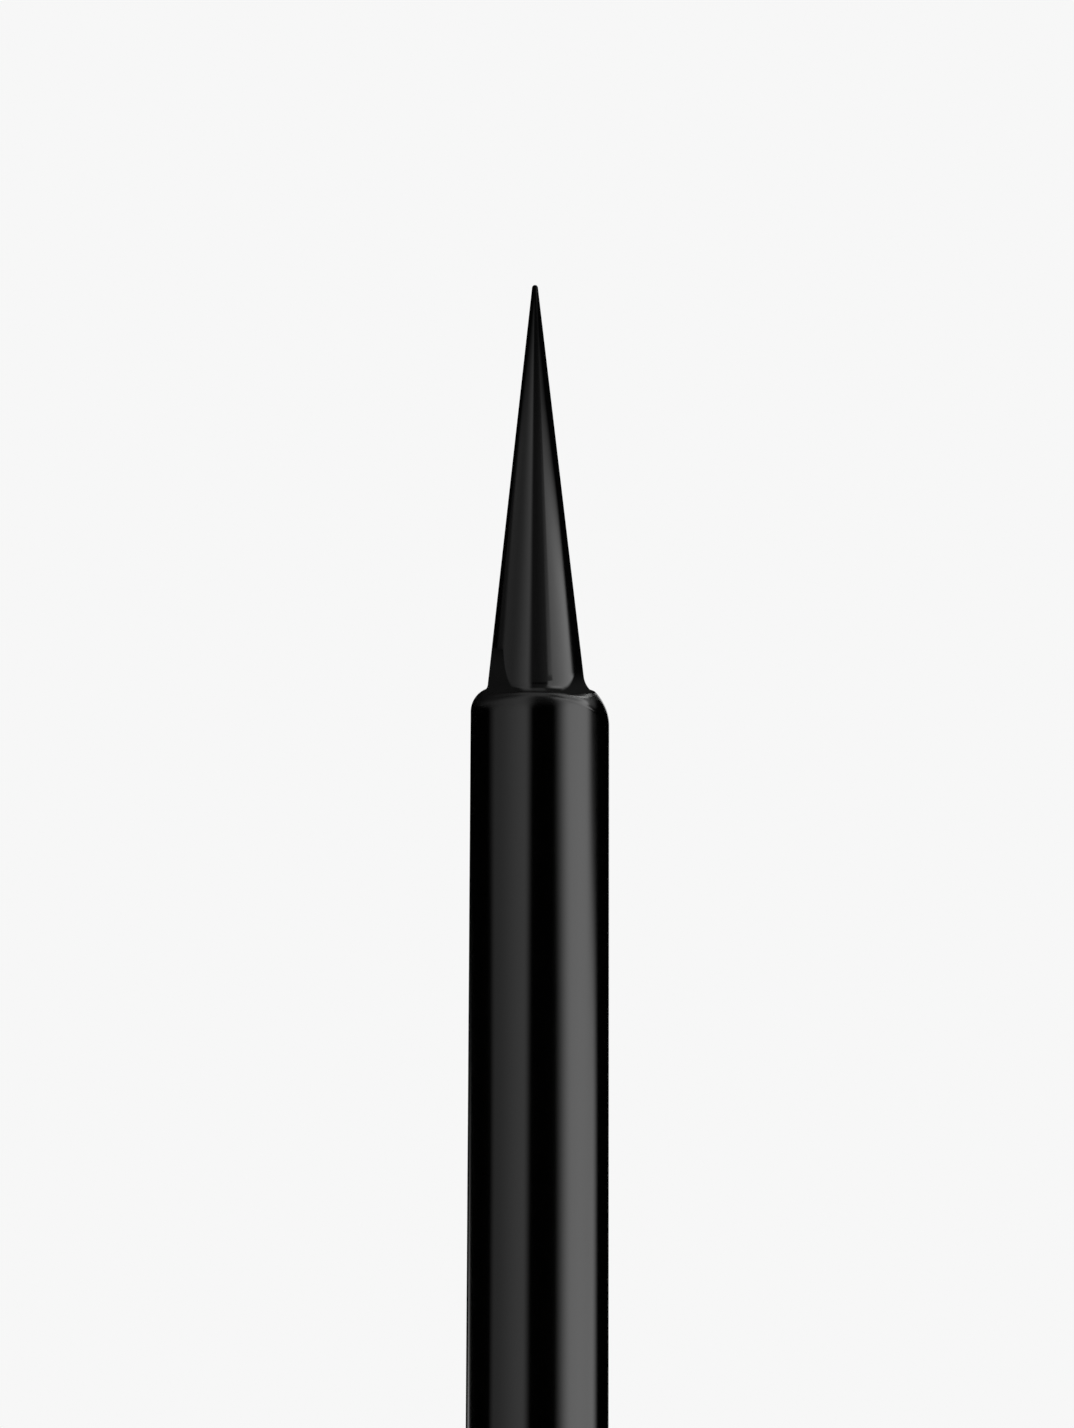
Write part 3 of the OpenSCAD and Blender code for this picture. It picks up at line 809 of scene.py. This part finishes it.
def make_cap(body):
    """The cap's tube, with rounded rims and the grooves inside."""
    low, high = height_range("cap_shell")
    ring_low, ring_high = height_range("inner_cap_retainer")
    outline = rounded(
        [(CAP_BORE_R, low), (PEN_R, low, EDGE_ROUND), (PEN_R, high, EDGE_ROUND)]
        + [(CAP_BORE_R, high, CAP_MOUTH_ROUND)]
        + bead(CAP_BORE_R, high - CLICK_DEPTH, CLICK_HEIGHT)[::-1]
        + [(CAP_BORE_R, ring_high + SEATED_FIT), (RETAINER_GROOVE_R, ring_high + SEATED_FIT)]
        + [(RETAINER_GROOVE_R, ring_low - SEATED_FIT), (CAP_BORE_R, ring_low - SEATED_FIT)]
        + bead(CAP_BORE_R, low + BEAD_SETBACK + BEAD_WIDTH / 2, BEAD_HEIGHT)[::-1]
    )
    obj = turned("cap_tube", outline)
    material = satin_black("satin_black_cap", 0.17, low, high)
    stand_in(obj, body, material, "shell_plastic", "cap_shell")


def make_cap_end(body):
    """The cap's end plug, with the flat that the pen stands on and a boss for the spring."""
    low, high = height_range("cap_end_plug")
    seam = height_range("cap_shell")[0]
    plug = CAP_BORE_R - SEATED_FIT
    top = high - BOSS_HEIGHT
    outline = rounded(
        [(0, low), (PEN_R, low, END_ROUND), (PEN_R, seam, EDGE_ROUND), (plug, seam)]
        + bead(plug, seam + BEAD_SETBACK + BEAD_WIDTH / 2, BEAD_HEIGHT)
        + [(plug, top, PLUG_ROUND), (BOSS_R, top), (BOSS_R, high, EDGE_ROUND), (0, high)]
    )
    obj = turned("cap_end_moulding", outline)
    material = satin_black("satin_black_cap_end", 0.2, low, seam)
    stand_in(obj, body, material, "shell_plastic", "cap_end_plug")


def spring_tree():
    """Geometry nodes for a compression spring with flattened end turns."""
    tree = bpy.data.node_groups.new("wound_spring", "GeometryNodeTree")
    g = Graph(tree)
    sizes = ("Turns", "Radius", "Wire", "Low", "High")
    for name in sizes:
        tree.interface.new_socket(name, in_out="INPUT", socket_type="NodeSocketFloat")
    tree.interface.new_socket("Finish", in_out="INPUT", socket_type="NodeSocketMaterial")
    tree.interface.new_socket("Spring", in_out="OUTPUT", socket_type="NodeSocketGeometry")
    given = tree.nodes.new("NodeGroupInput").outputs
    turns, radius, wire, low, high = [Term(g, given[name]) for name in sizes]

    line = g.add("GeometryNodeCurvePrimitiveLine")
    points = g.add("GeometryNodeResampleCurve", {}, {"Curve": line, "Count": WIRE_POINTS})
    share = g.add("GeometryNodeSplineParameter")
    angle = share * turns * (2 * math.pi)
    climb = g.add(
        "MapRange",
        {"interpolation_type": "LINEAR"},
        {"Value": share, "From Min": FLAT_END, "From Max": 1 - FLAT_END},
    )
    z = low + climb * (high - low)
    place = g.add("CombineXYZ", {}, {0: angle.cosine() * radius, 1: angle.sine() * radius, 2: z})
    helix = g.add("GeometryNodeSetPosition", {}, {"Geometry": points, "Position": place})
    ring = g.add(
        "GeometryNodeCurvePrimitiveCircle", {}, {"Resolution": WIRE_SIDES, "Radius": wire / 2.0}
    )
    swept = g.add(
        "GeometryNodeCurveToMesh",
        {},
        {"Curve": helix, "Profile Curve": ring, "Fill Caps": True},
    )
    material = Term(g, given["Finish"])
    made = g.add("GeometryNodeSetMaterial", {}, {"Geometry": swept, "Material": material})
    tree.links.new(made.socket, tree.nodes.new("NodeGroupOutput").inputs["Spring"])
    return tree


def make_spring(body):
    """The inner cap's compression spring, wound by geometry nodes."""
    low, high = height_range("inner_cap_spring")
    material = drawn_wire()
    spring = placed("inner_cap_spring_wire", bpy.data.meshes.new("spring_seed"))
    tree = spring_tree()
    winding = spring.modifiers.new("winding", "NODES")
    winding.node_group = tree
    given = {
        "Turns": float(SPRING_TURNS),
        "Radius": SPRING_R * MM,
        "Wire": SPRING_WIRE * MM,
        "Low": (low + SPRING_WIRE / 2) * MM,
        "High": (high - SPRING_WIRE / 2) * MM,
        "Finish": material,
    }
    for item in tree.interface.items_tree:
        if item.in_out == "INPUT":
            winding[item.identifier] = given[item.name]
    bpy.context.view_layer.update()
    bake(spring)
    shape = bmesh.new()
    shape.from_mesh(spring.data)
    welded(shape).to_mesh(spring.data)
    shape.free()
    stand_in(spring, body, material, "steel", "inner_cap_spring", sharp=WIRE_SHARP)
    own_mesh(spring)


def dress(node, material):
    """Gives a CAD node that stays its finish."""
    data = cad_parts[node].data
    data.materials.clear()
    data.materials.append(material)


def reflector(name, radius, start, end, low, high):
    """A curved panel round the pen, seen only in its gloss: upright, and domed over the mouth.

    Its azimuths start and end count from the camera's side towards +x. Its low and high are
    elevations from the nose's mouth. All are in degrees.
    """
    mouth = height_range("nose")[1]
    dome = radius / math.cos(math.radians(DOME_START))
    profile = []
    for k in range(PANEL_ROWS + 1):
        rise = low + (high - low) * k / PANEL_ROWS
        up = math.radians(rise)
        if rise <= DOME_START:
            lowest = PANEL_FOOT - PANEL_ROW_GAP * (PANEL_ROWS + 1 - k)
            profile.append((radius, max(mouth + radius * math.tan(up), lowest)))
        else:
            profile.append((dome * math.cos(up), mouth + dome * math.sin(up)))
    shape = bmesh.new()
    columns = []
    for i in range(PANEL_COLUMNS + 1):
        turn = math.radians(start + (end - start) * i / PANEL_COLUMNS)
        place = (math.sin(turn), -math.cos(turn))
        columns.append([shape.verts.new((r * place[0] * MM, r * place[1] * MM, z * MM)) for r, z in profile])
    for here, there in zip(columns, columns[1:]):
        for k in range(PANEL_ROWS):
            shape.faces.new((here[k], here[k + 1], there[k + 1], there[k]))
    bmesh.ops.remove_doubles(shape, verts=shape.verts, dist=PANEL_WELD)
    obj = from_shape(name, shape)
    obj.visible_camera = False
    obj.visible_diffuse = False
    obj.visible_shadow = False
    obj.visible_transmission = False
    obj.visible_volume_scatter = False
    return obj


def glow(name, level):
    """A reflector's surface, whose level is a function of azimuth, elevation and height.

    Azimuths and elevations are in degrees, heights in millimetres, and levels shares of white.
    Elevations and heights are as a level camera would need them, so they are lifted at the front
    by the camera's rise, and lowered behind.
    """
    f = Finish(name)
    f.tree.nodes.remove(f.shader)
    x = f.part_of_place(0)
    y = f.part_of_place(1)
    z = f.part_of_place(2)
    azimuth = x.arctan2(0.0 - y) * math.degrees(1)
    up = z - height_range("nose")[1] * MM
    elevation = up.arctan2((x * x + y * y) ** 0.5) * math.degrees(1)
    lift = 1 - f.rise(azimuth.size(), *PANEL_TURN) * 2
    elevation = elevation + lift * VIEW_RISE
    height = z / MM + lift * (SOFTBOX_R * math.tan(math.radians(VIEW_RISE)))
    return f.show(f.add("Emission", {}, {"Strength": level(f, azimuth, elevation, height)}))


def flag_glow(f, azimuth, elevation, height):
    """The dark flags: a faint patch over the camera, a dim surround and ceiling, and dim lights behind."""
    patch = (0.1 + f.rise(azimuth, 0, 35) * 0.13) * (1 - f.rise(azimuth.size(), 35, 45))
    patch = patch * f.within(elevation, 7, 11, 18, 26)
    x = f.part_of_place(0)
    y = f.part_of_place(1)
    strip = f.rise(x.size(), 0.09, 0.03) * f.rise(y, 0.02, 0.1)
    window = f.within(x, -0.2, -0.12, 0.06, 0.12) * (1 - f.rise(y, 0.12, 0.2))
    ceiling = 0.13 + f.rise(x, -0.1, 0.1) * 0.06 + strip.at_least(window) * 0.45
    above = f.rise(elevation + f.rise(azimuth.size(), 45, 20) * 12.0, 58, 70)
    surround = 0.09 + f.rise(azimuth, -20, 40) * 0.06 + f.rise(azimuth.size(), 158, 170) * 0.05
    sides = f.rise(elevation, 24, 34) * (1 - above)
    left = f.within(azimuth, -132, -122, -94, -84) * f.within(elevation, 4, 7, 24, 34) * 0.06
    back = f.within(azimuth, -156, -148, -128, -114) * (1 - f.rise(elevation, -15, -9)) * 1.8
    right = f.rise(azimuth, 104, 122) * f.within(elevation, 13, 25, 34, 44) * 0.3
    return patch + ceiling * above + surround * sides + left + back + right


def before_flags(f, azimuth, elevation, height, level, cover):
    """The level of a softbox as far as it covers the flags, and theirs beyond."""
    return level * cover + flag_glow(f, azimuth, elevation, height) * (1 - cover)


def left_glow(f, azimuth, elevation, height):
    """The dim left softbox, brighter towards the camera.

    Its plain level is what the nose shows, and its raised level what the tip shows.
    """
    tipwards = f.within(elevation, *TIP_ELEVATIONS)
    inner = tipwards * 2.0 - 17.0
    raised_edge = f.within(elevation, 2, 6, 17, 25)
    upper = 3.0 + f.rise(height, 201, 205) * 21.0
    outer = azimuth + raised_edge * upper + f.rise(height, 144, 152) * 4.0
    outer = outer - f.rise(elevation, 22, 50) * 42.0
    softer = f.rise(height, *BELOW_MOUTH) * 6.0
    edge = ((outer + 85.5 + softer) / (10.0 + softer)).at_least(0.0).at_most(1.0)
    body = edge * (1 - f.rise(azimuth - inner, -8, 6))
    plain = 0.42 + f.rise(azimuth, -80, -20) * 0.5
    raised = 0.33 + f.rise(azimuth, -80, -14) ** 2.0 * 0.72
    level = plain * (1 - tipwards) + raised * tipwards
    cover = (body * (1 - f.rise(elevation, 58, 72))).at_least(0.0)
    return before_flags(f, azimuth, elevation, height, level, cover)


def right_glow(f, azimuth, elevation, height):
    """The bright right softbox, with a soft inner side and a slanting outer one.

    Its plain side and level are what the nose shows, and its raised ones what the tip shows.
    """
    tipwards = f.within(elevation, *TIP_ELEVATIONS)
    inner_plain = f.rise(azimuth + f.rise(height, *BELOW_MOUTH) * 5.0, 26, 57)
    above_foot = f.rise(height, 224.3, 226.3) * (1 - f.rise(elevation, 15.2, 17))
    inner_raised = f.rise(azimuth - above_foot * 11.0, 26, 32)
    inner = inner_plain * (1 - tipwards) + inner_raised * tipwards
    outer_at = 107.0 - f.rise(height, 144.5, 155.5) * 15.6 + f.rise(elevation, 3, 11) * 4.0
    behind = f.rise(elevation, 22, 40)
    raised_edge = f.rise(height, 203.2, 205)
    outer_at = outer_at + behind * 45.0 + raised_edge * 11.0
    outer = 1 - f.rise(azimuth - outer_at, -10, 8)
    plain = 2.85 - f.rise(azimuth, 66, 100) * (0.6 + behind * 0.9)
    raised = 1.5 + f.rise(azimuth, 30, 95) * 1.35
    level = plain * (1 - tipwards) + raised * tipwards
    top = f.rise(elevation - f.rise(azimuth, 70, 95) * 20.0, 42, 54)
    cover = (inner * outer * (1 - top)).at_least(0.0)
    return before_flags(f, azimuth, elevation, height, level, cover)


def rim_glow(f, azimuth, elevation, height):
    """The small bright lamp behind, on the right, that glints on the nose's mouth."""
    spot = f.rise((azimuth - 157.0).size(), 3.5, 2) * f.rise((elevation - 25.5).size(), 4, 2.5)
    return spot * 6.0


def make_floor():
    """A matt floor that fades into the background away from the pen."""
    f = Finish(
        "pale_floor", Roughness=1.0, IOR=1.45, Specular_IOR_Level=0.0, Base_Color=grey(0.9)
    )
    away = f.add("VectorMath", {"operation": "LENGTH"}, {0: f.place()}, "Value")
    far = f.rise(away, *FLOOR_FADE)
    light = f.add("Emission", {}, {"Color": grey(1.0), "Strength": SEEN_LEVEL})
    seen = f.ray("Camera").at_least(f.ray("Glossy"))
    matt = Term(f, f.shader.outputs[0])
    f.show(f.add("MixShader", {}, {0: far * seen, 1: matt, 2: light}))
    shape = bmesh.new()
    bmesh.ops.create_circle(shape, cap_ends=True, radius=FLOOR_R, segments=FLOOR_SIDES)
    floor = from_shape("floor", shape)
    floor.data.materials.append(f.material)


def make_world():
    """An even pale surround, which lights the pen less than it shows."""
    world = bpy.data.worlds.new("studio")
    bpy.context.scene.world = world
    world.use_nodes = True
    g = Graph(world.node_tree)
    seen = g.ray("Camera").at_least(g.ray("Glossy")).at_least(g.ray("Transmission"))
    level = g.add("MapRange", {}, {"Value": seen, "To Min": LIGHT_LEVEL, "To Max": SEEN_LEVEL})
    sky = g.tree.nodes["Background"]
    sky.inputs["Color"].default_value = grey(1.0)
    g.tree.links.new(level.socket, sky.inputs["Strength"])


def make_lamps():
    """A key lamp on the right and a fill lamp on the left, which the gloss doesn't show."""
    target = Vector((0, 0, 0.08))
    for name, place, size, power in (
        ("key_lamp", (1.0, -0.7, 1.5), 0.9, 13.0),
        ("fill_lamp", (-1.2, -0.8, 1.2), 1.2, 6.4),
    ):
        data = bpy.data.lights.new(name, "AREA")
        data.shape = "SQUARE"
        data.size = size
        data.energy = power
        lamp = placed(name, data)
        lamp.location = place
        lamp.rotation_euler = (target - lamp.location).to_track_quat("-Z", "Y").to_euler()
        lamp.visible_camera = False
        lamp.visible_glossy = False


def make_reflectors():
    """The panels that draw the gloss, from start to end round the pen and from low to high."""
    for name, radius, start, end, low, high, level in (
        ("dark_flags", FLAGS_R, -178, 165, -30, 90, flag_glow),
        ("dark_back", FLAGS_R, 165, 182, 8, 90, flag_glow),
        ("left_softbox", SOFTBOX_R, -124, -8, -30, 74, left_glow),
        ("right_softbox", SOFTBOX_R, 20, 166, -30, 74, right_glow),
        ("rim_lamp", RIM_LAMP_R, 151, 163, 20, 36, rim_glow),
    ):
        panel = reflector(name, radius, start, end, low, high)
        panel.data.materials.append(glow(name + "_surface", level))


def make_camera():
    """A long lens a little above the tip, that frames what the photograph frames."""
    data = bpy.data.cameras.new("camera")
    data.sensor_width = SENSOR_WIDE
    data.lens = SENSOR_WIDE * CAMERA_DISTANCE / (PHOTO_HIGH / PIXELS_PER_MM)
    data.clip_start = 0.01
    data.clip_end = 20
    camera = placed("camera", data)
    rise = math.radians(VIEW_RISE)
    ahead = Vector((0, math.cos(rise), -math.sin(rise)))
    upwards = Vector((0, math.sin(rise), math.cos(rise)))
    centre = Vector((0, 0, height_range("fibre_tip")[1]))
    centre += upwards * ((POINT_Y - PHOTO_HIGH / 2) / PIXELS_PER_MM)
    centre.x = -(NOSE_AXIS_X - PHOTO_WIDE / 2) / PIXELS_PER_MM
    camera.location = (centre - ahead * CAMERA_DISTANCE) * MM
    camera.rotation_mode = "QUATERNION"
    roll = Matrix.Rotation(-NOSE_LEAN, 3, ahead).to_quaternion()
    camera.rotation_quaternion = roll @ ahead.to_track_quat("-Z", "Y")
    bpy.context.scene.camera = camera


bpy.context.scene.view_settings.view_transform = "Standard"
make_camera()
make_floor()
make_world()
make_lamps()
make_reflectors()

make_tip("pen")
make_nose("pen")
make_section("pen")
make_ring("pen")
make_barrel("pen")
make_tail("pen")
make_cap("cap")
make_cap_end("cap")
make_spring("cap")

collector_plastic = natural_plastic("inked_collector_plastic", (0.74, 0.74, 0.71, 1), (0.5, 0.5, 0.9), 0.9)
tank_plastic = natural_plastic("tank_plastic", (0.66, 0.68, 0.69, 1), (2.5, 2.5, 6.0), 0.5)
clean_plastic = natural_plastic("inner_cap_plastic", (0.78, 0.78, 0.76, 1), (4.0, 4.0, 6.0), 0.08)
rubber = seal_rubber()
retainer_low, retainer_high = height_range("inner_cap_retainer")
retainer_plastic = satin_black("satin_black_retainer", 0.3, retainer_low, retainer_high, RETAINER_BLACK)
dress("comb_collector", collector_plastic)
dress("ink_tank", tank_plastic)
dress("tank_plug", tank_plastic)
dress("feed_tube", collector_plastic)
dress("feed_rod", inked_fibre())
dress("inner_cap", clean_plastic)
dress("collector_seal", rubber)
dress("tank_plug_seal", rubber)
dress("inner_cap_seal", rubber)
dress("mixing_ball", polished_steel())
dress("inner_cap_retainer", retainer_plastic)
